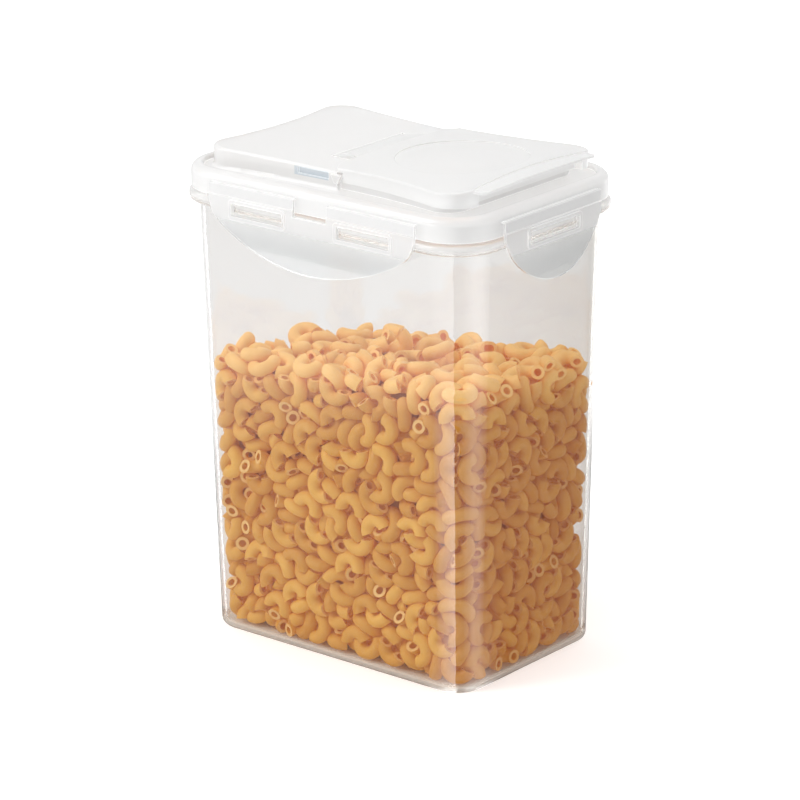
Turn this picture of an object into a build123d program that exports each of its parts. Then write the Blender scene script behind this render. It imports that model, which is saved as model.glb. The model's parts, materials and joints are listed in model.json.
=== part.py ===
"""Snap-lock flip-top food canister: clear body, frosted lid, four locking flaps, pouring door.

Millimetres. Origin at the centre of the base's underside, +Z up, +X towards the door's thumb
tab, -Y towards the front long side. The model stands with the lid on and the door shut. The
flaps hang closed, a few degrees before the click that pushes their slots over the lock lugs.
"""
from build123d import *
import os

# --- driving dimensions ---------------------------------------------------------------------
# body
flange_length = 155.0
flange_width = 108.4
flange_corner = 21.2
base_length = 136.3
base_width = 90.3
base_corner = 12.4
neck_length = 146.1
neck_width = 100.0
neck_corner = 17.0
wall = 2.0
floor_thickness = 2.2
base_rounding = 3.2
foot_inset = 9.0
foot_depth = 0.7
flange_bottom_z = 186.7
flange_top_z = 191.1
flange_rounding = 1.7
mouth_rounding = 0.6
mouth_z = 196.4

# lid
rim_outset = 1.0
rim_bottom_z = 192.1
rim_top_z = 202.0
rim_wall = 1.5
rim_roll = 3.6
crest_width = 5.2
crest_inner_rounding = 1.2
deck_z = 200.2
deck_thickness = 1.4
plug_clearance = 0.6
plug_wall = 1.5
plug_bottom_z = 189.5
shell = 1.5
cove = 1.3

# raised top
top_end_x = -64.4
top_corner_x = -70.3
top_corner_y = 44.6
top_corner_radius = 10.0
waist = 39.4
parting_x = -3.3
parting_edge_x = 0.6
parting_knee_y = 33.5
waist_mid_x = -32.0
waist_mid_y = 40.6
fixed_top_left_z = 209.0
fixed_top_waist_z = 207.6
top_rounding = 1.2
platform_z = 205.2
platform_end_x = 60.0
platform_waist = 37.0
platform_mid_y = 38.4
platform_end_y = 42.5
platform_corner_radius = 9.0

# door
door_plate = 1.5
door_rear_z = 210.2
door_rear_crown = 1.7
door_front_z = 212.4
door_front_crown = 2.8
crown_half_width = 50.0
door_rounding = 0.7
door_waist = 39.6
door_mid_y = 41.2
door_end_x = 67.8
door_end_y = 49.4
door_corner_radius = 12.0
door_gap = 0.4
skirt_wall = 1.3
skirt_bottom_z = 203.8
skirt_start_x = 3.8
tab_half_width = 36.3
tab_reach_x = 72.8
tab_bow = 1.8
tab_step = 0.4
tab_wall_x = 63.8
tab_recess_half_width = 33.6
tab_tip_radius = 2.6
tab_crease_x = 65.4
tab_crease_end_x = 67.2
tongue_half_width = 21.8
tongue_plate = 1.4
tongue_crown = 0.04
crease_x = -16.0
crease_z = 207.6
crease_gap = 0.6
crease_bead_radius = 0.35
neck_x = 33.0
recess_radius = 27.0
recess_depth = 0.5
recess_rounding = 0.35
pour_radius = 22.0
pour_wall = 1.5
pour_top_z = 206.0
plug_ring_radius = 20.9
plug_ring_wall = 1.3
plug_bead_radius = 21.35
plug_ring_bottom_z = 203.2
seal_bottom_z = 203.9
seal_height = 1.3
seal_outer_radius = 21.8
seal_lobe = 0.32

# gasket
gasket_gap = 0.15
gasket_rounding = 0.5
gasket_groove = 0.7
gasket_groove_depth = 1.4

# flaps
film_inset = 0.5
flare = 2.1
flare_mid = 0.55
flare_mid_drop = 22.0
head_rounding = 0.4
hinge_outset = 1.0
hinge_z = 198.0
bead_radius = 0.45
web_thickness = 0.5
flap_gap = 0.65
flap_thickness = 1.3
flap_head = 0.3
flap_step_drop = 4.2
flap_step = 0.35
flap_bend_drop = 13.2
slot_height = 5.2
slot_drop = 9.35
slot_frame = 1.5
slot_frame_height = 0.5
long_flap_half = 53.4
long_flap_drop = 29.5
long_flap_side_drop = 11.9
long_flap_shoulder = 14.0
long_slot_length = 26.8
long_slot_centre = 27.5
notch_half_width = 8.7
notch_drop = 7.0
short_flap_half = 31.0
short_flap_drop = 28.5
short_flap_side_drop = 7.0
short_flap_shoulder = 6.0
short_slot_length = 32.0
lug_reach = 0.5
lug_height = 3.4
lug_end_play = 1.4
eps = 0.01

# underlying details of the raised top
notch_floor_z = 206.2
notch_floor = 1.0
panel_depth = 0.4
panel_x0 = -19.4
panel_x1 = -3.6
panel_z0 = 204.0
panel_z1 = 206.6
ear_x = 0.4
ear_radius = 2.6
ear_tip = 0.8
ear_bottom_z = 202.9
ear_reach = 0.7

# --- sizes worked out from them -------------------------------------------------------------
rim_length = flange_length - 2 * rim_outset
rim_width = flange_width - 2 * rim_outset
rim_corner = flange_corner - rim_outset
channel_z = deck_z - deck_thickness
mouth_length = neck_length + 0.6
mouth_width = neck_width + 0.6
skirt_length = mouth_length - 2 * (wall + plug_clearance)
skirt_width = mouth_width - 2 * (wall + plug_clearance)
skirt_corner = neck_corner - wall - plug_clearance
gasket_length = rim_length - 2 * (rim_wall + gasket_gap)
gasket_width = rim_width - 2 * (rim_wall + gasket_gap)
gasket_corner = rim_corner - rim_wall - gasket_gap
head_reach = flap_gap + flap_thickness - flap_step
slope = (fixed_top_left_z - fixed_top_waist_z) / (parting_x - top_corner_x)
hinge_x = rim_length / 2 + hinge_outset
hinge_y = rim_width / 2 + hinge_outset
crease_top_z = fixed_top_waist_z + slope * (parting_x - crease_x)
door_rear_x = parting_x + door_gap
tab_end_x = tab_reach_x + tab_bow
door_block = door_front_z - skirt_bottom_z + 1


def save(builder, name):
    """Label a finished piece and write it as its own STEP file."""
    builder.part.label = name
    export_step(builder.part, f"parts/{name}.step")


os.makedirs("parts", exist_ok=True)

# --- flap planes: local x along the rim, local y up, local z outwards -------------------------
front_plane = Plane(origin=(0, -hinge_y, hinge_z), x_dir=(1, 0, 0), z_dir=(0, -1, 0))
back_plane = Plane(origin=(0, hinge_y, hinge_z), x_dir=(-1, 0, 0), z_dir=(0, 1, 0))
right_plane = Plane(origin=(hinge_x, 0, hinge_z), x_dir=(0, 1, 0), z_dir=(1, 0, 0))
left_plane = Plane(origin=(-hinge_x, 0, hinge_z), x_dir=(0, -1, 0), z_dir=(-1, 0, 0))


# --- container: flange bead, tapered body, mouth and lock lugs --------------------------------
with BuildPart() as container:
    with BuildSketch(Plane.XY.offset(flange_bottom_z)):
        RectangleRounded(flange_length, flange_width, flange_corner)
    extrude(amount=flange_top_z - flange_bottom_z)
    fillet(container.faces().filter_by(Axis.Z).edges(), flange_rounding)
    with BuildSketch(Plane.XY):
        RectangleRounded(base_length, base_width, base_corner)
    with BuildSketch(Plane.XY.offset(flange_bottom_z)):
        RectangleRounded(neck_length, neck_width, neck_corner)
    loft(ruled=True)
    fillet(container.faces().sort_by(Axis.Z)[0].edges(), base_rounding)
    with BuildSketch(Plane.XY.offset(flange_bottom_z)):
        RectangleRounded(mouth_length, mouth_width, neck_corner)
    extrude(amount=mouth_z - flange_bottom_z)
    fillet(container.faces().sort_by(Axis.Z)[-1].edges(), mouth_rounding)
    # hollow
    with BuildSketch(Plane.XY.offset(floor_thickness)):
        RectangleRounded(base_length - 2 * wall, base_width - 2 * wall, base_corner - wall)
    with BuildSketch(Plane.XY.offset(mouth_z)):
        RectangleRounded(mouth_length - 2 * wall, mouth_width - 2 * wall, neck_corner - wall)
    loft(ruled=True, mode=Mode.SUBTRACT)
    # shallow recess inside the foot ring
    with BuildSketch(Plane.XY):
        RectangleRounded(base_length - 2 * foot_inset, base_width - 2 * foot_inset, base_corner / 2)
    extrude(amount=foot_depth, mode=Mode.SUBTRACT)
    # lock lugs on the flange's outer face
    for plane, centres, slot_length in (
        (front_plane, (-long_slot_centre, long_slot_centre), long_slot_length),
        (back_plane, (-long_slot_centre, long_slot_centre), long_slot_length),
        (right_plane, (0,), short_slot_length),
        (left_plane, (0,), short_slot_length),
    ):
        with BuildSketch(plane.offset(-2 * flange_rounding)):
            with Locations(*[(centre, -slot_drop) for centre in centres]):
                RectangleRounded(slot_length - 2 * lug_end_play, lug_height, lug_height / 4)
        extrude(amount=2 * flange_rounding + lug_reach)
save(container, "container")


def fixed_outline(inset):
    """Plan of the raised top behind the door, drawn in by the inset."""
    corner = (top_corner_x + inset, top_corner_y - inset)
    middle = (waist_mid_x, waist_mid_y - inset)
    edge = (parting_edge_x - inset, waist - inset)
    knee = (parting_x - inset, parting_knee_y - inset / 2)
    with BuildSketch() as outline:
        with BuildLine():
            ThreePointArc((corner[0], -corner[1]), (top_end_x + inset, 0), corner)
            ThreePointArc(corner, middle, edge)
            Polyline(edge, knee, (knee[0], -knee[1]), (edge[0], -edge[1]))
            ThreePointArc((edge[0], -edge[1]), (middle[0], -middle[1]), (corner[0], -corner[1]))
        make_face()
        fillet(outline.vertices().sort_by(Axis.X)[:2], top_corner_radius - inset)
    return outline.sketch


def platform_outline(inset):
    """Plan of the lower platform under the door, drawn in by the inset."""
    rear = (parting_edge_x + inset, platform_waist - inset)
    middle = (neck_x, platform_mid_y - inset)
    corner = (platform_end_x - inset, platform_end_y - inset)
    with BuildSketch() as outline:
        with BuildLine():
            Line((rear[0], -rear[1]), rear)
            ThreePointArc(rear, middle, corner)
            Line(corner, (corner[0], -corner[1]))
            ThreePointArc((corner[0], -corner[1]), (middle[0], -middle[1]), (rear[0], -rear[1]))
        make_face()
        fillet(outline.vertices().sort_by(Axis.X)[-2:], platform_corner_radius - inset)
    return outline.sketch


# --- lid: rim with its roll, deck, gasket channel, raised waisted top, pouring neck -----------
with BuildPart() as lid:
    # rim block and its rolled crest
    with BuildSketch(Plane.XY.offset(rim_bottom_z)):
        RectangleRounded(rim_length, rim_width, rim_corner)
    extrude(amount=rim_top_z - rim_bottom_z)
    fillet(lid.faces().sort_by(Axis.Z)[-1].edges(), rim_roll)
    # trough between the crest and the raised top
    with BuildSketch(Plane.XY.offset(rim_top_z)):
        RectangleRounded(rim_length - 2 * crest_width, rim_width - 2 * crest_width, rim_corner - crest_width)
    extrude(amount=deck_z - rim_top_z, mode=Mode.SUBTRACT)
    fillet(lid.faces().filter_by(Axis.Z).sort_by(Axis.Z)[-1].inner_wires()[0].edges(), crest_inner_rounding)
    # raised top behind the door, cut to its sloping plane, with a cove at its foot
    with BuildSketch(Plane.XY.offset(deck_z)):
        add(fixed_outline(0))
    extrude(amount=fixed_top_left_z + 1 - deck_z)
    deck_face = lid.faces().filter_by(Axis.Z).filter_by_position(Axis.Z, deck_z - eps, deck_z + eps)[0]
    fillet(deck_face.inner_wires()[0].edges(), cove)
    # lower platform that the door's skirt closes over
    with BuildSketch(Plane.XY.offset(deck_z)):
        add(platform_outline(0))
    extrude(amount=platform_z - deck_z)
    with BuildSketch(Plane.XZ):
        Polygon(
            (parting_edge_x + 1, fixed_top_waist_z),
            (parting_x, fixed_top_waist_z),
            (top_corner_x - 1, fixed_top_waist_z + slope * (parting_x - top_corner_x + 1)),
            (top_corner_x - 1, fixed_top_left_z + 2),
            (parting_edge_x + 1, fixed_top_left_z + 2),
            align=None,
        )
    extrude(amount=rim_width / 2, both=True, mode=Mode.SUBTRACT)
    top_edges = lid.faces().sort_by(Axis.Z)[-1].edges()
    fillet(top_edges.filter_by(lambda e: e.center().X < parting_x - eps), top_rounding)
    # shallow notch that the door's tongue lies in
    with BuildSketch(Plane.XY.offset(notch_floor_z)):
        with Locations(((crease_x - crease_gap + parting_edge_x + 1) / 2, 0)):
            Rectangle(parting_edge_x + 1 - crease_x + crease_gap, 2 * (tongue_half_width + crease_gap))
    extrude(amount=fixed_top_left_z - notch_floor_z, mode=Mode.SUBTRACT)
    # glossy shallow panel on each side wall, next to the waist
    for side in (-1, 1):
        with BuildSketch(Plane.XZ.offset(side * (waist - panel_depth))):
            with Locations(((panel_x0 + panel_x1) / 2, (panel_z0 + panel_z1) / 2)):
                Rectangle(panel_x1 - panel_x0, panel_z1 - panel_z0)
        extrude(amount=side * 3, mode=Mode.SUBTRACT)
    # guide ears that the door's skirt closes against
    for side in (-1, 1):
        with BuildSketch(Plane.XZ.offset(side * (waist - shell / 2))):
            with BuildLine():
                Polyline(
                    (ear_x - ear_radius, fixed_top_waist_z - top_rounding),
                    (ear_x + ear_radius, fixed_top_waist_z - top_rounding),
                    (ear_x + ear_tip, ear_bottom_z),
                    (ear_x - ear_tip, ear_bottom_z),
                    close=True,
                )
            make_face()
        extrude(amount=side * (shell / 2 + ear_reach))
    # hollow underside: rim and gasket channel, then the raised top and platform
    with BuildSketch(Plane.XY.offset(rim_bottom_z)):
        RectangleRounded(rim_length - 2 * rim_wall, rim_width - 2 * rim_wall, rim_corner - rim_wall)
    extrude(amount=channel_z - rim_bottom_z, mode=Mode.SUBTRACT)
    with BuildSketch(Plane.XY.offset(channel_z)):
        add(fixed_outline(shell))
    extrude(amount=notch_floor_z - notch_floor - channel_z, mode=Mode.SUBTRACT)
    with BuildSketch(Plane.XY.offset(channel_z)):
        add(fixed_outline(shell))
        add(platform_outline(shell))
    extrude(amount=platform_z - shell - channel_z, mode=Mode.SUBTRACT)
    # inner skirt that plugs the mouth
    with BuildSketch(Plane.XY.offset(plug_bottom_z)):
        RectangleRounded(skirt_length, skirt_width, skirt_corner)
        RectangleRounded(
            skirt_length - 2 * plug_wall,
            skirt_width - 2 * plug_wall,
            skirt_corner - plug_wall,
            mode=Mode.SUBTRACT,
        )
    extrude(amount=deck_z - plug_bottom_z)
    # pouring neck
    with BuildSketch(Plane.XY.offset(platform_z)):
        with Locations((neck_x, 0)):
            Circle(pour_radius + pour_wall)
    extrude(amount=pour_top_z - platform_z)
    with BuildSketch(Plane.XY.offset(channel_z)):
        with Locations((neck_x, 0)):
            Circle(pour_radius)
    extrude(amount=pour_top_z - channel_z, mode=Mode.SUBTRACT)
save(lid, "lid")


# --- lid gasket: silicone ring in the rim channel, grooved along its outer side ---------------
with BuildPart() as lid_gasket:
    with BuildSketch(Plane.XY.offset(mouth_z + gasket_gap)):
        RectangleRounded(gasket_length, gasket_width, gasket_corner)
        RectangleRounded(
            skirt_length + 2 * gasket_gap,
            skirt_width + 2 * gasket_gap,
            skirt_corner + gasket_gap,
            mode=Mode.SUBTRACT,
        )
    extrude(amount=channel_z - mouth_z - 2 * gasket_gap)
    fillet(lid_gasket.faces().filter_by(Axis.Z).edges(), gasket_rounding)
    with BuildSketch(Plane.XY.offset((mouth_z + channel_z - gasket_groove) / 2)):
        RectangleRounded(gasket_length, gasket_width, gasket_corner)
        RectangleRounded(
            gasket_length - 2 * gasket_groove_depth,
            gasket_width - 2 * gasket_groove_depth,
            gasket_corner - gasket_groove_depth,
            mode=Mode.SUBTRACT,
        )
    extrude(amount=gasket_groove, mode=Mode.SUBTRACT)
save(lid_gasket, "lid_gasket")


# --- film hinges of the flaps: thin web from the rim to a bead on the hinge axis --------------
def film_hinge(name, plane, spans):
    """One flap's film hinge, as a web and bead for each (start, end) span along the rim."""
    with BuildPart() as film:
        for start, end in spans:
            section = Plane(
                origin=plane.from_local_coords((start, 0, 0)),
                x_dir=plane.z_dir,
                z_dir=plane.x_dir,
            )
            with BuildSketch(section):
                with Locations((-hinge_outset / 2, 0)):
                    Rectangle(hinge_outset, web_thickness)
                Circle(bead_radius)
            extrude(amount=end - start)
    save(film, name)


long_spans = (
    (-long_flap_half + film_inset, -notch_half_width - film_inset),
    (notch_half_width + film_inset, long_flap_half - film_inset),
)
short_spans = ((-short_flap_half + film_inset, short_flap_half - film_inset),)
film_hinge("film_hinge_front", front_plane, long_spans)
film_hinge("film_hinge_back", back_plane, long_spans)
film_hinge("film_hinge_right", right_plane, short_spans)
film_hinge("film_hinge_left", left_plane, short_spans)


# --- locking flaps: stepped head, framed slots over the lugs, flared rounded skirt ------------
def locking_flap(name, plane, half, drop, side_drop, shoulder, slot_length, slot_centres, notched):
    """One flap, hanging from its hinge plane."""
    side_plane = Plane(
        origin=plane.from_local_coords((-half - 1, 0, 0)), x_dir=plane.z_dir, z_dir=-plane.x_dir
    )
    with BuildPart() as flap:
        # cross-section, swept along the rim
        with BuildSketch(side_plane) as section:
            with BuildLine():
                Polyline(
                    (flap_gap, -flap_bend_drop),
                    (flap_gap, flap_head),
                    (flap_gap + flap_thickness - flap_step, flap_head),
                    (flap_gap + flap_thickness - flap_step, -flap_step_drop),
                    (flap_gap + flap_thickness, -flap_step_drop - flap_step),
                    (flap_gap + flap_thickness, -flap_bend_drop),
                )
                ThreePointArc(
                    (flap_gap + flap_thickness, -flap_bend_drop),
                    (flap_gap + flap_thickness + flare_mid, -flare_mid_drop),
                    (flap_gap + flap_thickness + flare, -drop - 1),
                )
                Line(
                    (flap_gap + flap_thickness + flare, -drop - 1),
                    (flap_gap + flare, -drop - 1),
                )
                ThreePointArc(
                    (flap_gap + flare, -drop - 1),
                    (flap_gap + flare_mid, -flare_mid_drop),
                    (flap_gap, -flap_bend_drop),
                )
            make_face()
        extrude(amount=-2 * half - 2)
        # outline: straight sides, rounded shoulders, a long arc below
        with BuildSketch(plane) as outline:
            with BuildLine():
                ThreePointArc((-half, -side_drop), (0, -drop), (half, -side_drop))
                Polyline(
                    (half, -side_drop), (half, flap_head + 1), (-half, flap_head + 1), (-half, -side_drop)
                )
            make_face()
            fillet(outline.vertices().sort_by(Axis.Y)[:2], shoulder)
        extrude(amount=flap_gap + flap_thickness + flare + 1, mode=Mode.INTERSECT)
        # raised frames, then the slots through them
        frame_plane = plane.offset(flap_gap + flap_thickness / 2)
        with BuildSketch(frame_plane):
            with Locations(*[(centre, -slot_drop) for centre in slot_centres]):
                RectangleRounded(slot_length + 2 * slot_frame, slot_height + 2 * slot_frame, slot_frame)
        extrude(amount=flap_thickness / 2 + slot_frame_height)
        with BuildSketch(plane):
            with Locations(*[(centre, -slot_drop) for centre in slot_centres]):
                RectangleRounded(slot_length, slot_height, slot_frame / 3)
            if notched:
                with Locations((0, -notch_drop)):
                    Rectangle(
                        2 * notch_half_width, notch_drop + flap_head + 1, align=(Align.CENTER, Align.MIN)
                    )
        extrude(amount=flap_gap + flap_thickness + slot_frame_height + 1, mode=Mode.SUBTRACT)
        head_edge = flap.edges().filter_by(lambda e: abs(e.center().Z - hinge_z - flap_head) < eps)
        outer = head_edge.filter_by(lambda e: abs(plane.to_local_coords(e.center()).Z - head_reach) < eps)
        fillet(outer, head_rounding)
    save(flap, name)


long_flap = (
    long_flap_half, long_flap_drop, long_flap_side_drop, long_flap_shoulder,
    long_slot_length, (-long_slot_centre, long_slot_centre), True,
)
short_flap = (
    short_flap_half, short_flap_drop, short_flap_side_drop, short_flap_shoulder,
    short_slot_length, (0,), False,
)
locking_flap("flap_front", front_plane, *long_flap)
locking_flap("flap_back", back_plane, *long_flap)
locking_flap("flap_right", right_plane, *short_flap)
locking_flap("flap_left", left_plane, *short_flap)


# --- film hinge of the door: web and bead along the crease -------------------------------------
with BuildPart() as film_hinge_door:
    with BuildSketch(Plane.XZ.offset(-tongue_half_width + film_inset)):
        with Locations((crease_x - crease_gap / 2, crease_z)):
            Rectangle(crease_gap, web_thickness)
        with Locations((crease_x, crease_z)):
            Circle(crease_bead_radius)
    extrude(amount=2 * (tongue_half_width - film_inset))
save(film_hinge_door, "film_hinge_door")


# --- flip door: crowned plate with tongue and thumb tab, skirt, recess, sealing plug -----------
def crowned_plate(ends, lift, thickness):
    """Plate between two crowned cross-sections, each given as (x, height at the middle, crown)."""
    with BuildPart() as plate:
        for x, middle_z, crown in ends:
            with BuildSketch(Plane(origin=(x, 0, middle_z + lift), x_dir=(0, 1, 0), z_dir=(1, 0, 0))):
                with BuildLine():
                    ThreePointArc((-crown_half_width, -crown), (0, 0), (crown_half_width, -crown))
                    Line((crown_half_width, -crown), (crown_half_width, -crown - thickness))
                    ThreePointArc(
                        (crown_half_width, -crown - thickness),
                        (0, -thickness),
                        (-crown_half_width, -crown - thickness),
                    )
                    Line((-crown_half_width, -crown - thickness), (-crown_half_width, -crown))
                make_face()
        loft(ruled=True)
    return plate.part


def door_outline(recessed):
    """Plan of the door, with the end wall set back under the thumb tab if it is asked for."""
    with BuildSketch() as outline:
        with BuildLine():
            Polyline(
                (parting_edge_x + door_gap, -door_waist),
                (door_rear_x, -parting_knee_y),
                (door_rear_x, parting_knee_y),
                (parting_edge_x + door_gap, door_waist),
            )
            ThreePointArc(
                (parting_edge_x + door_gap, door_waist), (neck_x, door_mid_y), (door_end_x, door_end_y)
            )
            Line((door_end_x, door_end_y), (door_end_x, -door_end_y))
            ThreePointArc(
                (door_end_x, -door_end_y), (neck_x, -door_mid_y), (parting_edge_x + door_gap, -door_waist)
            )
        make_face()
        fillet(outline.vertices().sort_by(Axis.X)[-2:], door_corner_radius)
        if recessed:
            with Locations((tab_wall_x, 0)):
                Rectangle(
                    door_end_x, 2 * tab_recess_half_width, align=(Align.MIN, Align.CENTER), mode=Mode.SUBTRACT
                )
    return outline.sketch


def surface_layer(area, depth):
    """Layer of the door's top surface over a plan area, as deep as is asked for."""
    with BuildPart() as layer:
        with BuildSketch(Plane.XY.offset(skirt_bottom_z)):
            add(area)
        extrude(amount=door_block)
        add(crowned_plate(door_ends, door_plate - depth, door_plate), mode=Mode.INTERSECT)
    return layer.part


def on_recess_wall(edge):
    """Tells whether an edge is a full turn of the finger recess's wall."""
    reach = edge.bounding_box().size
    return abs(reach.X - 2 * recess_radius) < recess_depth and abs(reach.Y - 2 * recess_radius) < recess_depth


door_ends = (
    (door_rear_x, door_rear_z, door_rear_crown),
    (tab_end_x + 1, door_front_z, door_front_crown),
)
tongue_ends = (
    (crease_x + crease_gap, crease_top_z, tongue_crown),
    (door_rear_x, door_rear_z, door_rear_crown),
)

with BuildSketch() as tab_top:
    with BuildLine():
        ThreePointArc(
            (tab_crease_end_x, -tab_half_width - 1), (tab_crease_x, 0), (tab_crease_end_x, tab_half_width + 1)
        )
        Polyline(
            (tab_crease_end_x, tab_half_width + 1),
            (tab_end_x + 1, tab_half_width + 1),
            (tab_end_x + 1, -tab_half_width - 1),
            (tab_crease_end_x, -tab_half_width - 1),
        )
    make_face()

with BuildSketch() as finger_recess:
    with Locations((neck_x, 0)):
        Circle(recess_radius)

# skirt, open at the rear, and the sealing plug with its retaining bead
with BuildPart() as door_underside:
    with BuildSketch(Plane.XY.offset(skirt_bottom_z)) as skirt:
        add(door_outline(True))
        offset(amount=-skirt_wall, mode=Mode.SUBTRACT)
        with Locations((skirt_start_x, 0)):
            Rectangle(-4 * crease_x, 4 * door_waist, align=(Align.MAX, Align.CENTER), mode=Mode.SUBTRACT)
    extrude(amount=door_block)
    for radius, bottom_z, height in (
        (plug_ring_radius, plug_ring_bottom_z, door_block),
        (plug_bead_radius, plug_ring_bottom_z, seal_bottom_z - plug_ring_bottom_z),
    ):
        with BuildSketch(Plane.XY.offset(bottom_z)):
            with Locations((neck_x, 0)):
                Circle(radius)
                Circle(plug_ring_radius - plug_ring_wall, mode=Mode.SUBTRACT)
        extrude(amount=height)
    add(crowned_plate(door_ends, door_block - door_plate / 2, door_block), mode=Mode.SUBTRACT)

# tongue, ramping down from the plate to the crease
with BuildPart() as tongue:
    with BuildSketch(Plane.XY.offset(skirt_bottom_z)):
        with Locations((crease_x + crease_gap, 0)):
            Rectangle(
                door_rear_x - crease_x - crease_gap, 2 * tongue_half_width, align=(Align.MIN, Align.CENTER)
            )
    extrude(amount=door_block)
    add(crowned_plate(tongue_ends, 0, tongue_plate), mode=Mode.INTERSECT)

with BuildPart() as flip_door:
    # top plate with its thumb tab, rounded along its free edges
    with BuildSketch(Plane.XY.offset(skirt_bottom_z)):
        add(door_outline(False))
        with BuildSketch(mode=Mode.PRIVATE) as tab:
            with BuildLine():
                ThreePointArc((tab_reach_x, tab_half_width), (tab_end_x, 0), (tab_reach_x, -tab_half_width))
                Polyline(
                    (tab_reach_x, -tab_half_width),
                    (tab_wall_x, -tab_half_width),
                    (tab_wall_x, tab_half_width),
                    (tab_reach_x, tab_half_width),
                )
            make_face()
            fillet(tab.vertices().sort_by(Axis.X)[-2:], tab_tip_radius)
        add(tab.sketch)
    extrude(amount=door_block)
    add(crowned_plate(door_ends, 0, door_plate), mode=Mode.INTERSECT)
    top_edges = flip_door.faces().sort_by(Axis.Z)[-1].edges()
    fillet(top_edges.filter_by(lambda e: e.center().X > skirt_start_x), door_rounding)
    # sunk areas: the tab's top and the round finger recess above the neck
    add(surface_layer(tab_top.sketch, tab_step), mode=Mode.SUBTRACT)
    add(surface_layer(finger_recess.sketch, recess_depth), mode=Mode.SUBTRACT)
    recess_edges = flip_door.edges().filter_by(on_recess_wall).sort_by(Axis.Z)
    fillet(recess_edges[-1], recess_rounding)
    add(door_underside.part)
    add(tongue.part)

save(flip_door, "flip_door")


# --- door seal: two-lobed silicone ring on the plug ---------------------------------------------
with BuildPart() as door_seal:
    with BuildSketch(Plane.XZ):
        with Locations((neck_x + plug_ring_radius, seal_bottom_z)):
            Rectangle(
                seal_outer_radius - plug_ring_radius - seal_lobe, seal_height, align=(Align.MIN, Align.MIN)
            )
        with Locations(
            (neck_x + seal_outer_radius - seal_lobe, seal_bottom_z + seal_lobe),
            (neck_x + seal_outer_radius - seal_lobe, seal_bottom_z + seal_height - seal_lobe),
        ):
            Circle(seal_lobe)
    revolve(axis=Axis((neck_x, 0, 0), (0, 0, 1)))
save(door_seal, "door_seal")
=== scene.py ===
import json
import math

import bmesh
import bpy
import numpy as np
from mathutils import Matrix, Vector
from mathutils.bvhtree import BVHTree

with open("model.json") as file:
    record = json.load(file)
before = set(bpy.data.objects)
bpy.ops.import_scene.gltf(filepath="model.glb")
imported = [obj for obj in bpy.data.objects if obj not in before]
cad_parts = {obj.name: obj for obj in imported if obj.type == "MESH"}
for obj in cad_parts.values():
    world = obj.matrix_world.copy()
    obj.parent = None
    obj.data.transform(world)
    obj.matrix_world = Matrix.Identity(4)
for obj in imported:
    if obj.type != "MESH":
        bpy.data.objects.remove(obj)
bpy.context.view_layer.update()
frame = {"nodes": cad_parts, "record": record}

MM = 0.001
SEED = 41

# --- camera: the viewing angle, and where the view is centred, in the view's own plane ----------
VIEW_AZIMUTH = 39.523
VIEW_ELEVATION = 18.53
VIEW_ROLL = 0.545
VIEW_DISTANCE = 1.721
VIEW_LENS = 184.115
AIM_RIGHT = -0.354 * MM
AIM_UP = 96.197 * MM

# --- places on the pieces where their look changes -----------------------------------------------
MILKY_RIM_Z = 188 * MM
MILKY_BASE_Z = 3.6 * MM
SHADED_WALL_X = 62 * MM
SHADED_WALL_Y = 5 * MM
FLAP_FROST_Z = 182.5 * MM
# painted light on the door's walls below this height, lifting the shade under its tab
PAINTED_WALL_LIGHT_Z = 207 * MM
# the tinted panels on both long sides of the raised top: between these X and Z, outside these Y
SIDE_PANEL = {"X": (-21.2 * MM, -3.8 * MM), "Y": (-37 * MM, 37 * MM), "Z": (203.3 * MM, 206.9 * MM)}

# --- looks -----------------------------------------------------------------------------------------
BODY_IOR = 1.07
PLASTIC_IOR = 1.42
HEAD_ON_MIRROR = 0.06
MILKY_SHARE = 0.75
# painted glow on every face of the frosted mouldings: an emission, not a lamp
PAINTED_FACE_GLOW = 0.035
LID_COLOUR = (0.895, 0.893, 0.888)
DOOR_COLOUR = (0.885, 0.885, 0.88)
PANEL_COLOUR = (0.60, 0.67, 0.73, 1)

# --- contents: elbow macaroni -----------------------------------------------------------------------
TUBE_RADIUS = 2.9 * MM
HOLE_RADIUS = 1.6 * MM
BEND_RADIUS = (4.2 * MM, 5.1 * MM)
BEND_DEGREES = (150, 212)
SHAPES = 9
RINGS = 13
AROUND = 14
BEADS = 5
# heights of the heap's top at the four corners of the body, by the signs of X and Y
FILL_CORNERS = {(-1, -1): 124 * MM, (1, -1): 132 * MM, (1, 1): 126 * MM, (-1, 1): 117 * MM}
# waves of the heap's top: height in mm, then turns in radians per metre along X and Y
HEAPS = (2.2, 260, 310)
RIPPLES = (1.2, 520, 430)
WALL_GAP = 0.9 * MM
SHELL_DEPTH = 15 * MM
CORE_DEPTH = 10 * MM
CORE_STEPS = 16
CORE_TOP_SPAN = 0.8
NEAR_WALL = 2.2 * TUBE_RADIUS
TILT_AT_WALL = 0.45
TILT_ON_TOP = 0.35
PIECE_VOLUME = 525e-9
TRIES = 40000
RELAX_STEPS = 150
PAIRS_EVERY = 5
PAIR_MARGIN = 1.2 * MM
# the pull down and the press outwards at each step, which fade out over this share of the steps
SETTLE = 0.10 * MM
PRESS = 0.06 * MM
FADE_SHARE = 0.8
CORE_PUSH = 0.5
TOP_PUSH = 0.35
# painted top light on the pasta near the heap's top, and painted shade low at the right wall
TOP_LIGHT_DEPTH = 16 * MM
TOP_LIGHT_SHARE = 0.8
RIGHT_SHADE_SHARE = 0.45

# --- studio -------------------------------------------------------------------------------------------
FLOOR_HALF = 8
FLOOR_DROP = 0.2 * MM
FLOOR_LIFT = 0.32
WORLD_SHINE = 0.7
LIGHT_AIM = (0, 0, 0.1)
# centre of the ground reflector, as a share of the body's length and width
FAN_CENTRE = (0.36, -0.3)
FAN_HEIGHT = 0.4 * MM
FAN_SLICE_DEGREES = 4
STRIP_DISTANCE = 2.4


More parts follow.
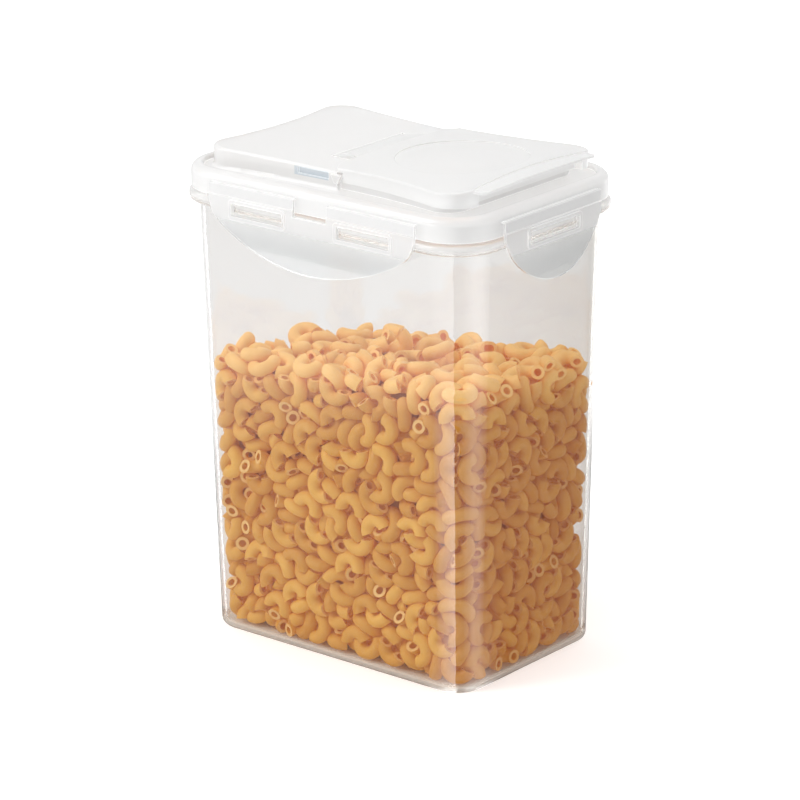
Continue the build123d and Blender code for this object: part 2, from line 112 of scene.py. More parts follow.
def view_axes():
    """Right, up and back of the viewing direction, before the roll."""
    a, e = math.radians(VIEW_AZIMUTH), math.radians(VIEW_ELEVATION)
    back = Vector((math.sin(a) * math.cos(e), -math.cos(a) * math.cos(e), math.sin(e)))
    right = Vector((math.cos(a), math.sin(a), 0))
    return right, back.cross(right), back


def make_camera():
    right, up, back = view_axes()
    roll = math.radians(VIEW_ROLL)
    cam_right = right * math.cos(roll) - up * math.sin(roll)
    cam_up = right * math.sin(roll) + up * math.cos(roll)
    data = bpy.data.cameras.new("camera")
    data.lens = VIEW_LENS
    data.clip_start = 0.05
    camera = bpy.data.objects.new("camera", data)
    bpy.context.scene.collection.objects.link(camera)
    place = right * AIM_RIGHT + up * AIM_UP + back * VIEW_DISTANCE
    camera.matrix_world = Matrix((
        (cam_right.x, cam_up.x, back.x, place.x),
        (cam_right.y, cam_up.y, back.y, place.y),
        (cam_right.z, cam_up.z, back.z, place.z),
        (0, 0, 0, 1),
    ))
    bpy.context.scene.camera = camera


# --- shader helpers ------------------------------------------------------------------------------
def new_material(name):
    mat = bpy.data.materials.new(name)
    mat.use_nodes = True
    mat.node_tree.nodes.clear()
    return mat, mat.node_tree


def feed(tree, socket, value):
    """Give an input a fixed value, or link another node's output to it."""
    if isinstance(value, bpy.types.NodeSocket):
        tree.links.new(value, socket)
    else:
        socket.default_value = value


def add_node(tree, kind, settings=None, **inputs):
    """Add a shader node, with its settings and its named inputs."""
    made = tree.nodes.new(kind)
    for key, value in (settings or {}).items():
        setattr(made, key, value)
    for key, value in inputs.items():
        feed(tree, made.inputs[key.replace("_", " ")], value)
    return made


def add_ordered(tree, kind, operation, *values):
    """Add a node whose inputs are told apart by their order alone."""
    made = add_node(tree, kind, {"operation": operation} if operation else None)
    for socket, value in zip(made.inputs, values):
        feed(tree, socket, value)
    return made


def arithmetic(tree, operation, first, second):
    return add_ordered(tree, "ShaderNodeMath", operation, first, second).outputs[0]


def mix_shaders(tree, factor, first, second):
    """The first shader where the factor is 0, the second where it is 1."""
    return add_ordered(tree, "ShaderNodeMixShader", None, factor, first, second).outputs[0]


def to_surface(tree, shader):
    add_node(tree, "ShaderNodeOutputMaterial", Surface=shader)


def grey(value):
    return (value, value, value, 1)


def mix_values(tree, factor, low, high):
    """A number that goes from low to high as the factor goes from 0 to 1."""
    return add_node(tree, "ShaderNodeMapRange", Value=factor, To_Min=low, To_Max=high).outputs["Result"]


def mix_colours(tree, factor, low, high, how="MIX"):
    settings = {"data_type": "RGBA", "blend_type": how}
    return add_node(tree, "ShaderNodeMix", settings, Factor=factor, A=low, B=high).outputs["Result"]


def own_place(tree):
    """The piece's own coordinates, in metres."""
    return add_node(tree, "ShaderNodeTexCoord").outputs["Object"]


def noise(tree, scale, detail, stretch=(1, 1, 1)):
    """Noise over the piece's own coordinates, in cells per metre."""
    turn = add_node(tree, "ShaderNodeMapping", Vector=own_place(tree), Scale=stretch)
    cells = add_node(tree, "ShaderNodeTexNoise", Vector=turn.outputs[0], Scale=scale, Detail=detail)
    return cells.outputs["Fac"]


def step_at(tree, axis, edge, soft):
    """0 below the edge and 1 above it along one of the piece's own axes, in metres."""
    split = add_node(tree, "ShaderNodeSeparateXYZ", Vector=own_place(tree))
    limits = {"From_Min": edge - soft, "From_Max": edge + soft}
    return add_node(tree, "ShaderNodeMapRange", Value=split.outputs[axis], **limits).outputs["Result"]


def box_mask(tree, spans):
    """1 between the given limits along X and Z, in metres, and outside those along Y."""
    factor = 1.0
    for axis, (low, high) in spans.items():
        past_low, past_high = (step_at(tree, axis, edge, 0.1 * MM) for edge in (low, high))
        inside = arithmetic(tree, "SUBTRACT", past_low, past_high)
        if axis == "Y":
            inside = arithmetic(tree, "SUBTRACT", 1.0, inside)
        factor = arithmetic(tree, "MULTIPLY", factor, inside)
    return factor


def bump(tree, height, strength, distance):
    return add_node(tree, "ShaderNodeBump", Height=height, Strength=strength, Distance=distance).outputs[0]


def edge_mask(tree, radius, gain):
    """1 along sharp edges, 0 elsewhere: where a rounded normal differs from the true one."""
    rounded = add_node(tree, "ShaderNodeBevel", {"samples": 6}, Radius=radius)
    true = add_node(tree, "ShaderNodeNewGeometry")
    dot = add_ordered(
        tree, "ShaderNodeVectorMath", "DOT_PRODUCT", rounded.outputs[0], true.outputs["Normal"]
    )
    away = arithmetic(tree, "SUBTRACT", 1.0, dot.outputs["Value"])
    return mix_values(tree, arithmetic(tree, "MULTIPLY", away, gain), 0, 1)


def painted_edge_glow(tree, body, face, edge, walls=0.0):
    """Painted glow: a little emission on every face, and more along edges as a painted highlight and on low
    walls as painted light.
    """
    glow = mix_values(tree, edge_mask(tree, 0.45 * MM, 8), face, edge)
    # painted light on the walls below this height, lifting the shade under the door's tab
    if walls:
        upper = step_at(tree, "Z", PAINTED_WALL_LIGHT_Z, 1.5 * MM)
        glow = arithmetic(tree, "ADD", glow, mix_values(tree, upper, walls, 0))
    feed(tree, body.inputs["Emission Color"], grey(1))
    feed(tree, body.inputs["Emission Strength"], glow)


def finish_see_through(tree, surface, shadow_tint):
    """Let shadow and diffuse rays pass straight through, so that clear walls do not darken the inside."""
    path = add_node(tree, "ShaderNodeLightPath")
    straight = arithmetic(tree, "MAXIMUM", path.outputs["Is Shadow Ray"], path.outputs["Is Diffuse Ray"])
    clear = add_node(tree, "ShaderNodeBsdfTransparent", Color=shadow_tint)
    to_surface(tree, mix_shaders(tree, straight, surface, clear.outputs[0]))


# --- materials -----------------------------------------------------------------------------------
def clear_wall(tree):
    """Clear plastic wall: weak refraction and true mirror reflections, with faint flow lines."""
    flow = noise(tree, 34, 3, (1, 1, 0.12))
    haze = noise(tree, 900, 2)
    normal = bump(tree, flow, 0.04, 0.3 * MM)
    tint = mix_colours(tree, noise(tree, 22, 2), (0.955, 0.951, 0.947, 1), (0.963, 0.960, 0.956, 1))
    # the right wall stands in the room's shade, more so towards the back
    right = step_at(tree, "X", SHADED_WALL_X, 3 * MM)
    shade = arithmetic(tree, "MULTIPLY", right, step_at(tree, "Y", SHADED_WALL_Y, 45 * MM))
    dim = mix_colours(tree, shade, grey(1), (0.935, 0.93, 0.92, 1))
    tint = mix_colours(tree, 1.0, tint, dim, "MULTIPLY")
    through = add_node(
        tree, "ShaderNodeBsdfGlass", Color=tint, Roughness=mix_values(tree, haze, 0.0, 0.03),
        IOR=BODY_IOR, Normal=normal,
    )
    mirror = add_node(
        tree, "ShaderNodeBsdfAnisotropic", Color=grey(1), Roughness=mix_values(tree, haze, 0.01, 0.05),
        Normal=normal,
    )
    # share of mirrored light, by Schlick's rule
    facing = add_node(tree, "ShaderNodeLayerWeight", Blend=0.5, Normal=normal)
    grazing = arithmetic(tree, "POWER", facing.outputs["Facing"], 5)
    share = mix_values(tree, grazing, HEAD_ON_MIRROR, 1)
    return mix_shaders(tree, share, through.outputs[0], mirror.outputs[0])


def clear_body_material():
    """Water-clear moulded body: a painted pale glow where rays have gone deep inside it and along its edges,
    milky where it is thick.
    """
    mat, tree = new_material("clear_body")
    # painted light: a pale emission stands in where transmission or mirror rays have gone deep, and gives a
    # painted highlight along the edges
    path = add_node(tree, "ShaderNodeLightPath")
    passed = arithmetic(tree, "GREATER_THAN", path.outputs["Transmission Depth"], 5.5)
    turned = arithmetic(tree, "GREATER_THAN", path.outputs["Glossy Depth"], 2.5)
    painted_glow_mask = arithmetic(tree, "MAXIMUM", passed, turned)
    painted_glow_mask = arithmetic(tree, "MAXIMUM", painted_glow_mask, edge_mask(tree, 0.5 * MM, 5))
    pale = add_node(tree, "ShaderNodeEmission", Color=(0.82, 0.81, 0.79, 1))
    wall = mix_shaders(tree, painted_glow_mask, clear_wall(tree), pale.outputs[0])
    # the rim with its lugs, and the foot
    upper = step_at(tree, "Z", MILKY_RIM_Z, 1.5 * MM)
    lower = arithmetic(tree, "SUBTRACT", 1.0, step_at(tree, "Z", MILKY_BASE_Z, 1.2 * MM))
    milk = add_node(
        tree, "ShaderNodeBsdfPrincipled",
        Base_Color=mix_colours(tree, upper, (0.84, 0.78, 0.70, 1), grey(0.86)),
        Roughness=0.2, IOR=PLASTIC_IOR, Transmission_Weight=0.4,
    )
    share = mix_values(tree, arithmetic(tree, "MAXIMUM", upper, lower), 0, MILKY_SHARE)
    finish_see_through(tree, mix_shaders(tree, share, wall, milk.outputs[0]), (0.985, 0.98, 0.97, 1))
    return mat


def frosted_material(name, colour, roughness, coat, edges, panel=None, walls=0.0):
    """Frosted translucent moulding: cloudy body, fine spark-eroded grain, a soft satin coat."""
    mat, tree = new_material(name)
    cloud = noise(tree, 45, 4)
    grain = noise(tree, 5200, 2)
    shade = mix_colours(tree, cloud, (*(c * 0.965 for c in colour), 1), (*colour, 1))
    if panel:
        shade = mix_colours(tree, box_mask(tree, panel), shade, PANEL_COLOUR)
    body = add_node(
        tree, "ShaderNodeBsdfPrincipled", Base_Color=shade, IOR=PLASTIC_IOR,
        Transmission_Weight=mix_values(tree, cloud, 0.45, 0.55),
        Roughness=mix_values(tree, grain, roughness - 0.06, roughness + 0.06),
        Normal=bump(tree, grain, 0.12, 0.04 * MM),
        Coat_Weight=coat, Coat_Roughness=0.16, Sheen_Weight=0.04,
    )
    # painted glow on the faces and a painted highlight along the edges
    painted_edge_glow(tree, body, PAINTED_FACE_GLOW, edges, walls)
    finish_see_through(tree, body.outputs[0], grey(0.93))
    return mat


def flap_material():
    """Flap: frosted head and slot frames, glossy and clearer below them."""
    mat, tree = new_material("flap")
    grain = noise(tree, 5200, 2)
    above = step_at(tree, "Z", FLAP_FROST_Z, 4 * MM)
    rough = arithmetic(
        tree, "ADD", mix_values(tree, above, 0.14, 0.34), mix_values(tree, grain, -0.03, 0.03)
    )
    body = add_node(
        tree, "ShaderNodeBsdfPrincipled", IOR=PLASTIC_IOR,
        Base_Color=mix_colours(tree, above, (0.73, 0.745, 0.75, 1), grey(0.87)),
        Transmission_Weight=mix_values(tree, above, 0.82, 0.66),
        Roughness=rough, Normal=bump(tree, grain, 0.08, 0.03 * MM),
        Coat_Weight=0.7, Coat_Roughness=0.05,
    )
    # painted highlight along the flap's edges, with a faint painted glow on its faces
    painted_edge_glow(tree, body, 0.02, 0.3)
    finish_see_through(tree, body.outputs[0], grey(0.94))
    return mat


def silicone_material():
    """Pale silicone, slightly dusty."""
    mat, tree = new_material("silicone")
    dust = noise(tree, 1400, 4)
    body = add_node(
        tree, "ShaderNodeBsdfPrincipled", IOR=1.4,
        Base_Color=mix_colours(tree, dust, (0.80, 0.80, 0.79, 1), (0.88, 0.88, 0.87, 1)),
        Roughness=mix_values(tree, dust, 0.45, 0.62), Normal=bump(tree, dust, 0.15, 0.05 * MM),
        Transmission_Weight=0.35, Sheen_Weight=0.3,
    )
    finish_see_through(tree, body.outputs[0], grey(0.8))
    return mat


def pasta_material():
    """Dried elbow pasta: each piece its own tone, mealy surface, pale cut ends."""
    mat, tree = new_material("pasta")
    tone, cut, pale, deep = (
        add_node(tree, "ShaderNodeAttribute", {"attribute_name": name}).outputs["Fac"]
        for name in ("tone", "cut", "pale", "deep")
    )
    mottle = noise(tree, 420, 4)
    own_tone, own_mottle = (
        arithmetic(tree, "MULTIPLY", source, share) for source, share in ((tone, 0.75), (mottle, 0.35))
    )
    shade = arithmetic(tree, "ADD", own_tone, own_mottle)
    colour = mix_colours(tree, shade, (0.46, 0.215, 0.028, 1), (0.68, 0.415, 0.085, 1))
    # cut ends are paler in their own colour; 'pale' mixes in painted top light and 'deep' painted shade
    for factor, other in (
        (cut, (0.68, 0.47, 0.18, 1)),
        (pale, (0.93, 0.62, 0.24, 1)),
        (deep, (0.33, 0.11, 0.008, 1)),
    ):
        colour = mix_colours(tree, factor, colour, other)
    # painted glow: a constant deep-orange emission lifts the shaded gaps, standing in for light that has
    # wandered inside the dough
    body = add_node(
        tree, "ShaderNodeBsdfPrincipled", IOR=1.4, Base_Color=colour,
        Roughness=mix_values(tree, mottle, 0.42, 0.62), Normal=bump(tree, mottle, 0.25, 0.12 * MM),
        Specular_IOR_Level=0.3, Emission_Color=(1.0, 0.26, 0.02, 1), Emission_Strength=0.15,
    )
    to_surface(tree, body.outputs[0])
    return mat


def heap_shade_material():
    """Matt brown of the heap's hidden inside."""
    mat, tree = new_material("heap_shade")
    to_surface(tree, add_node(tree, "ShaderNodeBsdfDiffuse", Color=(0.50, 0.20, 0.05, 1)).outputs[0])
    return mat


def floor_material():
    """Matt white paper, lifted a little for the camera alone, so that it ends in plain white."""
    mat, tree = new_material("pale_floor")
    path = add_node(tree, "ShaderNodeLightPath")
    seen = mix_values(tree, path.outputs["Is Camera Ray"], 0, FLOOR_LIFT)
    paper = add_node(tree, "ShaderNodeBsdfDiffuse", Color=grey(0.92))
    lift = add_node(tree, "ShaderNodeEmission", Strength=seen)
    both = add_ordered(tree, "ShaderNodeAddShader", None, paper.outputs[0], lift.outputs[0])
    to_surface(tree, both.outputs[0])
    return mat


def glow_material(name):
    """Emission as strong as the mesh's own 'glow' values."""
    mat, tree = new_material(name)
    glow = add_node(tree, "ShaderNodeAttribute", {"attribute_name": "glow"})
    to_surface(tree, add_node(tree, "ShaderNodeEmission", Strength=glow.outputs["Fac"]).outputs[0])
    return mat


def make_pieces():
    """Give every piece of the frame its material."""
    slots = {
        "clear_body": clear_body_material(),
        "frosted_lid": frosted_material("frosted_lid", LID_COLOUR, 0.36, 0.45, 0.4, panel=SIDE_PANEL),
        "door": frosted_material("door", DOOR_COLOUR, 0.38, 0.4, 0.16, walls=0.06),
        "flap": flap_material(),
        "silicone": silicone_material(),
    }
    for part in frame["record"]["subparts"]:
        mesh = frame["nodes"][part["node"]].data
        mesh.materials.clear()
        mesh.materials.append(slots[part["material_slot"]])


# --- meshes of the stage -----------------------------------------------------------------------------
def make_mesh(name, points, faces):
    """A smooth mesh of four-sided faces from arrays."""
    mesh = bpy.data.meshes.new(name)
    mesh.vertices.add(len(points))
    mesh.vertices.foreach_set("co", points.astype(np.float32).ravel())
    mesh.loops.add(faces.size)
    mesh.loops.foreach_set("vertex_index", faces.astype(np.int32).ravel())
    mesh.polygons.add(len(faces))
    mesh.polygons.foreach_set("loop_start", np.arange(0, faces.size, 4, dtype=np.int32))
    mesh.polygons.foreach_set("use_smooth", np.ones(len(faces), bool))
    mesh.update(calc_edges=True)
    return mesh


def set_value(mesh, name, values):
    layer = mesh.attributes.new(name, "FLOAT", "POINT")
    layer.data.foreach_set("value", values.astype(np.float32))


def stage_mesh(mesh):
    made = bpy.data.objects.new(mesh.name, mesh)
    bpy.context.scene.collection.objects.link(made)
    return made


# --- contents: elbow macaroni, set dressing only ---------------------------------------------------
class Cavity:
    """Inside of the body, measured on its mesh: half sizes at any height, and the corner radius."""

    def __init__(self, body):
        mesh = bmesh.new()
        mesh.from_mesh(body.data)
        tree = BVHTree.FromBMesh(mesh)
        mesh.free()
        self.low, self.high = 20 * MM, 170 * MM
        self.half_low = self.reach(tree, self.low)
        self.half_high = self.reach(tree, self.high)
        hit = tree.ray_cast(Vector((0, 0, self.low)), Vector((0, 0, -1)))
        self.floor = hit[0].z
        diagonal = Vector((1, -1, 0)).normalized()
        start = Vector((self.half_low[0] - self.half_low[1], 0, self.low))
        run = (tree.ray_cast(start, diagonal)[0] - start).length
        self.corner = (self.half_low[1] * math.sqrt(2) - run) / (math.sqrt(2) - 1)

    @staticmethod
    def reach(tree, z):
        start = Vector((0, 0, z))
        along = tree.ray_cast(start, Vector((1, 0, 0)))[0].x
        across = -tree.ray_cast(start, Vector((0, -1, 0)))[0].y
        return np.array((along, across))

    def half(self, z):
        share = ((z - self.low) / (self.high - self.low))[..., None]
        return self.half_low + (self.half_high - self.half_low) * share

    def fill(self, points):
        """Height of the top of the contents over each point: a slope with gentle heaps."""
        half = self.half_low
        u = np.clip(points[..., 0] / half[0], -1, 1) * 0.5 + 0.5
        v = np.clip(points[..., 1] / half[1], -1, 1) * 0.5 + 0.5
        front = FILL_CORNERS[-1, -1] * (1 - u) + FILL_CORNERS[1, -1] * u
        back = FILL_CORNERS[-1, 1] * (1 - u) + FILL_CORNERS[1, 1] * u
        x, y = points[..., 0], points[..., 1]
        heaps = np.sin(x * HEAPS[1] + 1.3) * np.sin(y * HEAPS[2] + 0.4)
        ripples = np.sin(x * RIPPLES[1] + y * RIPPLES[2])
        return front * (1 - v) + back * v + (HEAPS[0] * heaps + RIPPLES[0] * ripples) * MM


def elbow_shapes(rng):
    """A few bends: (bend radius, bend angle, bead centres), centred on the middle of their line."""
    shapes = []
    for _ in range(SHAPES):
        radius = rng.uniform(*BEND_RADIUS)
        bend = math.radians(rng.uniform(*BEND_DEGREES))
        middle = radius * math.sin(bend / 2) / (bend / 2)
        reach = bend / 2 - 0.55 * TUBE_RADIUS / radius
        angles = np.linspace(-reach, reach, BEADS)
        beads = np.stack((radius * np.cos(angles) - middle, radius * np.sin(angles), 0 * angles), 1)
        shapes.append((radius, bend, beads))
    return shapes


def rotation(axis_angle):
    """Rotation matrices of an array of rotation vectors."""
    angle = np.linalg.norm(axis_angle, axis=1)[:, None, None] + 1e-12
    x, y, z = (axis_angle / angle[:, 0]).T
    zero = np.zeros_like(x)
    cross = np.stack((zero, -z, y, z, zero, -x, -y, x, zero), 1).reshape(-1, 3, 3)
    return np.eye(3) + np.sin(angle) * cross + (1 - np.cos(angle)) * (cross @ cross)


def turned_about_z(angles):
    return rotation(np.stack((0 * angles, 0 * angles, angles), 1))


def scatter(cavity, rng):
    """Random first places in a shell inside the walls and under the top, and rotations."""
    top = max(FILL_CORNERS.values())
    size = np.array((2 * cavity.half_high[0], 2 * cavity.half_high[1], top))
    tries = rng.random((TRIES, 3)) * size - np.array((size[0] / 2, size[1] / 2, -cavity.floor))
    wall = np.max(np.abs(tries[:, :2]) - cavity.half(tries[:, 2]), axis=1)
    under = cavity.fill(tries) - tries[:, 2]
    inside = (wall < -TUBE_RADIUS) & (under > TUBE_RADIUS)
    shell = inside & ((wall > -SHELL_DEPTH) | (under < SHELL_DEPTH))
    volume = np.prod(size) * np.count_nonzero(shell) / len(tries)
    places = tries[shell][: int(volume / PIECE_VOLUME)]
    frames = rotation(2 * rng.normal(size=(len(places), 3)))
    # pieces against a wall lie roughly flat on it
    gap = np.abs(places[:, :2]) - cavity.half(places[:, 2])
    outer = np.max(gap, axis=1) > -NEAR_WALL
    side = np.argmax(gap, axis=1)
    for axis, upright in ((0, (0, math.pi / 2, 0)), (1, (math.pi / 2, 0, 0))):
        rows = outer & (side == axis)
        count = int(rows.sum())
        flat = turned_about_z(rng.uniform(0, 2 * math.pi, count))
        tilt = rotation(rng.normal(scale=TILT_AT_WALL, size=(count, 3)))
        frames[rows] = tilt @ rotation(np.array([upright])) @ flat
    # and those on top lie roughly level
    rows = cavity.fill(places) - places[:, 2] < NEAR_WALL
    count = int(rows.sum())
    flat = turned_about_z(rng.uniform(0, 2 * math.pi, count))
    frames[rows] = rotation(rng.normal(scale=TILT_ON_TOP, size=(count, 3))) @ flat
    return places, frames


def close_pairs(points, owner, reach):
    """Index pairs of points of different pieces that lie within reach of each other."""
    cells = np.floor(points / reach).astype(np.int64) + 512
    stride = np.array((1 << 22, 1 << 11, 1))
    keys = cells @ stride
    order = np.argsort(keys, kind="stable")
    ranked = keys[order]
    firsts, seconds = [], []
    for dx in (-1, 0, 1):
        for dy in (-1, 0, 1):
            for dz in (-1, 0, 1):
                wanted = ranked + np.array((dx, dy, dz)) @ stride
                start = np.searchsorted(ranked, wanted, "left")
                count = np.searchsorted(ranked, wanted, "right") - start
                first = np.repeat(np.arange(len(ranked)), count)
                offset = np.arange(count.sum()) - np.repeat(np.cumsum(count) - count, count)
                second = np.repeat(start, count) + offset
                keep = first < second
                firsts.append(order[first[keep]])
                seconds.append(order[second[keep]])
    first, second = np.concatenate(firsts), np.concatenate(seconds)
    near = owner[first] != owner[second]
    near &= np.sum((points[first] - points[second]) ** 2, axis=1) < reach ** 2
    return first[near], second[near]


def wall_push(points, cavity):
    """Moves that bring bead centres back inside the walls, off the floor and under the top."""
    move = np.zeros_like(points)
    inner = cavity.half(points[:, 2]) - cavity.corner
    past = np.abs(points[:, :2]) - inner
    sign = np.sign(points[:, :2])
    rounded = np.maximum(past, 0)
    length = np.linalg.norm(rounded, axis=1)
    depth = length + np.minimum(np.max(past, axis=1), 0) - cavity.corner + TUBE_RADIUS + WALL_GAP
    deep = depth > 0
    toward = rounded / (length[:, None] + 1e-9)
    move[deep, :2] = -(sign * toward * depth[:, None])[deep]
    # the hidden middle stays empty: out to the nearest wall, or up into the top layer
    core = np.abs(points[:, :2]) - cavity.half(points[:, 2]) + SHELL_DEPTH
    lift = cavity.fill(points) - SHELL_DEPTH - points[:, 2]
    axis = np.argmax(core, axis=1)
    aside = -np.max(core, axis=1)
    rows = np.nonzero((lift > 0) & (aside > 0) & (aside < lift))[0]
    move[rows, axis[rows]] += aside[rows] * sign[rows, axis[rows]] * CORE_PUSH
    rows = (lift > 0) & (aside > 0) & (aside >= lift)
    move[rows, 2] += lift[rows] * CORE_PUSH
    sunk = cavity.floor + TUBE_RADIUS + WALL_GAP - points[:, 2]
    move[:, 2] += np.maximum(sunk, 0)
    proud = points[:, 2] + TUBE_RADIUS - cavity.fill(points)
    move[:, 2] -= np.maximum(proud, 0) * TOP_PUSH
    return move


def settle(places, frames, beads, cavity):
    """Push overlapping pieces apart, let them turn, and press them gently to wall and floor."""
    count = len(places)
    owner = np.repeat(np.arange(count), BEADS)
    spread = np.sum(beads ** 2, axis=(1, 2))[:, None]
    limit = 2 * TUBE_RADIUS
    for step in range(RELAX_STEPS):
        arms = np.einsum("nij,nkj->nki", frames, beads)
        points = (places[:, None] + arms).reshape(-1, 3)
        if step % PAIRS_EVERY == 0:
            first, second = close_pairs(points, owner, limit + PAIR_MARGIN)
        gap = points[first] - points[second]
        length = np.linalg.norm(gap, axis=1) + 1e-9
        overlap = np.maximum(limit - length, 0)
        push = gap * (0.5 * overlap / length)[:, None]
        move = np.zeros_like(points)
        for axis in range(3):
            move[:, axis] = np.bincount(first, push[:, axis], len(points))
            move[:, axis] -= np.bincount(second, push[:, axis], len(points))
        move = (move + wall_push(points, cavity)).reshape(count, BEADS, 3)
        touching = np.count_nonzero(np.abs(move).sum(2), axis=1)
        shift = move.sum(axis=1) / np.maximum(touching, 1)[:, None]
        turn = np.cross(arms, move).sum(axis=1) / spread
        pull = max(0.0, 1 - step / (FADE_SHARE * RELAX_STEPS))
        shift[:, 2] -= SETTLE * pull
        outward = np.abs(places[:, :2]) - cavity.half(places[:, 2])
        side = np.argmax(outward, axis=1)
        rows = np.arange(count)
        shift[rows, side] += np.sign(places[rows, side]) * PRESS * pull
        places = places + shift
        frames = rotation(turn) @ frames
    return places, frames


def elbow_mesh(radius, bend):
    """Template of one piece: outer skin, bore, and two flat cut rings with their own points."""
    middle = radius * math.sin(bend / 2) / (bend / 2)
    points, faces, cut = [], [], []

    def ring(angle, tube, is_cut):
        for turn in np.linspace(0, 2 * math.pi, AROUND, endpoint=False):
            reach = radius + tube * math.cos(turn)
            along, across = reach * math.cos(angle) - middle, reach * math.sin(angle)
            points.append((along, across, tube * math.sin(turn)))
            cut.append(is_cut)
        return len(points) - AROUND

    def bridge(first, second):
        for i in range(AROUND):
            j = (i + 1) % AROUND
            faces.append((first + i, first + j, second + j, second + i))

    angles = np.linspace(-bend / 2, bend / 2, RINGS)
    skin = [ring(angle, TUBE_RADIUS, 0) for angle in angles]
    bore = [ring(angle, HOLE_RADIUS, 0) for angle in angles]
    for first, second in zip(skin, skin[1:]):
        bridge(second, first)
    for first, second in zip(bore, bore[1:]):
        bridge(first, second)
    for angle, order in ((-bend / 2, 1), (bend / 2, -1)):
        bridge(*(ring(angle, TUBE_RADIUS, 1), ring(angle, HOLE_RADIUS, 1))[::order])
    return np.array(points), np.array(faces), np.array(cut, float)


def make_contents():
    rng = np.random.default_rng(SEED)
    cavity = Cavity(frame["nodes"]["container"])
    shapes = elbow_shapes(rng)
    places, frames = scatter(cavity, rng)
    kind = rng.integers(0, SHAPES, len(places))
    beads = np.array([shapes[k][2] for k in kind])
    places, frames = settle(places, frames, beads, cavity)
    tones = rng.random(len(places))
    points, faces, cuts, tone = [], [], [], []
    total = 0
    for k, (radius, bend, _) in enumerate(shapes):
        template, template_faces, template_cut = elbow_mesh(radius, bend)
        rows = np.nonzero(kind == k)[0]
        placed = np.einsum("nij,vj->nvi", frames[rows], template) + places[rows, None]
        points.append(placed.reshape(-1, 3))
        starts = total + np.arange(len(rows)) * len(template)
        faces.append((template_faces[None] + starts[:, None, None]).reshape(-1, 4))
        cuts.append(np.tile(template_cut, len(rows)))
        tone.append(np.repeat(tones[rows], len(template)))
        total += len(rows) * len(template)
    points = np.concatenate(points)
    mesh = make_mesh("macaroni", points, np.concatenate(faces))
    set_value(mesh, "cut", np.concatenate(cuts))
    set_value(mesh, "tone", np.concatenate(tone))
    # painted light and shade: paler near the top of the heap, where the top lamp falls, and a painted shade
    # that deepens the tone low down at the right wall
    under = (cavity.fill(points) - points[:, 2]) / TOP_LIGHT_DEPTH
    set_value(mesh, "pale", TOP_LIGHT_SHARE * np.clip(1 - under, 0, 1))
    toward_right = np.clip(points[:, 0] / cavity.half_low[0] * 3 - 2, 0, 1)
    set_value(mesh, "deep", RIGHT_SHADE_SHARE * toward_right * np.clip(under - 0.5, 0, 1))
    mesh.materials.append(pasta_material())
    stage_mesh(mesh)
    stage_mesh(heap_core(cavity))


def heap_core(cavity):
    """Brown inside of the heap, a block behind the pieces that show: a bottom grid and a top grid."""
    steps = CORE_STEPS
    row = steps + 1
    layer = row * row
    points, faces = [], []
    for is_top in (False, True):
        for i in range(row):
            for j in range(row):
                u, v = 2 * i / steps - 1, 2 * j / steps - 1
                z = cavity.floor + MM
                if is_top:
                    under = CORE_TOP_SPAN * cavity.half_low * (u, v)
                    z = float(cavity.fill(under)) - CORE_DEPTH
                half = cavity.half(np.array(z)) - CORE_DEPTH
                points.append((u * half[0], v * half[1], z))
    for base in (0, layer):
        for i in range(steps):
            for j in range(steps):
                a = base + i * row + j
                faces.append((a, a + row, a + row + 1, a + 1))
    for i in range(steps):
        for a, b in (
            (i, i + 1), (steps * row + i, steps * row + i + 1),
            (i * row, (i + 1) * row), (i * row + steps, (i + 1) * row + steps),
        ):
            faces.append((a, b, b + layer, a + layer))
    mesh = make_mesh("heap_core", np.array(points), np.array(faces))
    mesh.materials.append(heap_shade_material())
    return mesh


# --- stage ---------------------------------------------------------------------------------------
def make_floor():
    mesh = bpy.data.meshes.new("floor")
    bm = bmesh.new()
    bmesh.ops.create_grid(bm, x_segments=1, y_segments=1, size=FLOOR_HALF)
    bm.to_mesh(mesh)
    bm.free()
    mesh.materials.append(floor_material())
    stage_mesh(mesh).location.z = -FLOOR_DROP


def reflector(name, centre, rings, stops):
    """Card seen only in reflections: a fan of rings round a centre, each (radius, height, share).

    Each stop is an azimuth in degrees, from -Y towards +X, and its brightness at shares 0 and 1.
    """
    points, faces, glow = [], [], []
    for (start, *shine), (end, *next_shine) in zip(stops, stops[1:]):
        count = max(1, round(abs(end - start) / FAN_SLICE_DEGREES))
        for i in range(count + 1):
            part = i / count
            angle = math.radians(start + (end - start) * part)
            low, high = (a + (b - a) * part for a, b in zip(shine, next_shine))
            for radius, height, share in rings:
                x, y = centre[0] + radius * math.sin(angle), centre[1] - radius * math.cos(angle)
                points.append((x, y, height))
                glow.append(low + (high - low) * share)
            if i:
                last = len(points) - len(rings)
                before = last - len(rings)
                for j in range(len(rings) - 1):
                    faces.append((before + j, before + j + 1, last + j + 1, last + j))
    mesh = make_mesh(name, np.array(points), np.array(faces))
    set_value(mesh, "glow", np.array(glow))
    mesh.materials.append(glow_material(name))
    card = stage_mesh(mesh)
    card.visible_camera = False
    card.visible_diffuse = False
    card.visible_transmission = False
    card.visible_volume_scatter = False
    card.visible_shadow = False


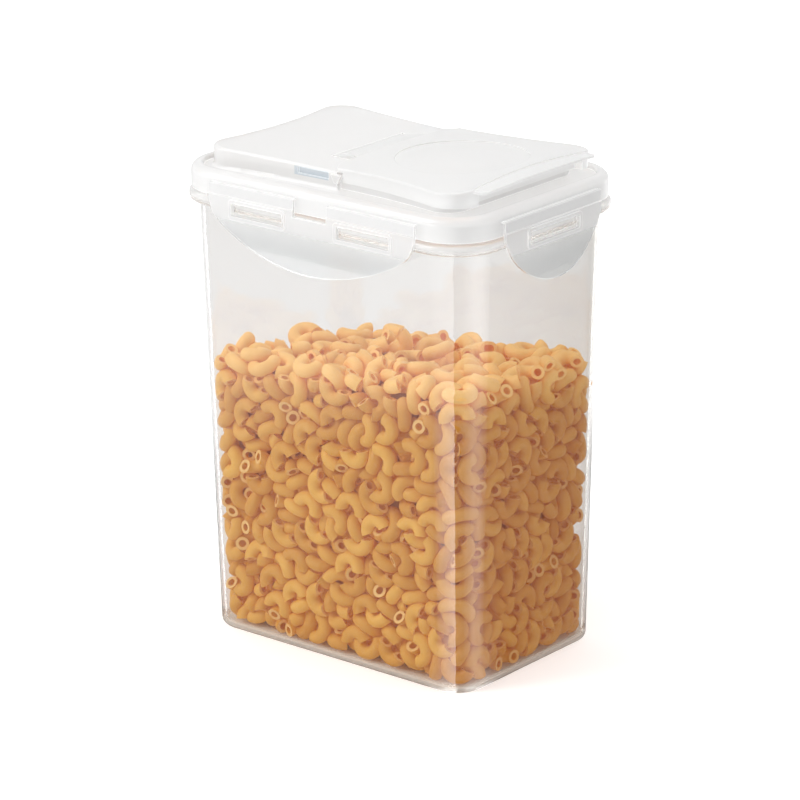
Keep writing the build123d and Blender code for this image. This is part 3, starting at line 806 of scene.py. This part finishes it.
def soft_light(name, place, size, power):
    data = bpy.data.lights.new(name, "AREA")
    data.shape = "SQUARE"
    data.size = size
    data.energy = power
    light = bpy.data.objects.new(name, data)
    light.location = place
    light.rotation_mode = "QUATERNION"
    light.rotation_quaternion = (Vector(place) - Vector(LIGHT_AIM)).to_track_quat("Z", "Y")
    bpy.context.scene.collection.objects.link(light)


def make_stage():
    make_floor()
    world = bpy.data.worlds.new("studio")
    world.use_nodes = True
    sky = world.node_tree.nodes["Background"]
    sky.inputs["Color"].default_value = grey(1)
    sky.inputs["Strength"].default_value = WORLD_SHINE
    bpy.context.scene.world = world
    bpy.context.scene.view_settings.view_transform = "Standard"
    soft_light("key", (-0.9, -1.2, 1.3), 0.8, 14.5)
    soft_light("fill", (1.3, -0.7, 0.9), 1.0, 0.4)
    soft_light("top", (0.2, 0.3, 1.6), 1.2, 6)
    # what the walls mirror from the ground: bright in front, darker near the foot and to the right
    ground = (
        (-195, 0.2, 1.5), (-135, 0.2, 1.5), (-126, 0.2, 0.85), (-100, 0.2, 0.8),
        (-44, 0.1, 1.1), (-36, 0.2, 1.2), (-22, 1.4, 1.6), (31, 4.2, 2.1),
        (31.01, 0.0, 0.2), (55, 0.2, 0.5), (88, 2.0, 1.9), (112, 1.8, 1.8),
        (134, 0.3, 0.7), (140, 0.0, 0.2), (146, 0.0, 0.0), (165, 0.2, 1.5),
    )
    rings = tuple((radius, FAN_HEIGHT, share) for radius, share in ((0.0, 0), (0.29, 0), (0.38, 1), (3.5, 1)))
    body = frame["nodes"]["container"].dimensions
    reflector("ground_glow", (body.x * FAN_CENTRE[0], body.y * FAN_CENTRE[1]), rings, ground)
    # strip boxes near the horizon, for the rolled edges: span in height, in azimuth, and brightness
    for name, heights, azimuths, shine in (
        ("left_strip", (-0.1, 0.4), (-70, -10), 3.0),
        ("right_strip", (0.1, 0.8), (52, 84), 0.8),
    ):
        rings = tuple((STRIP_DISTANCE, height, share) for share, height in enumerate(heights))
        reflector(name, (0, 0), rings, tuple((azimuth, shine, shine) for azimuth in azimuths))


make_camera()
make_stage()
make_contents()
make_pieces()
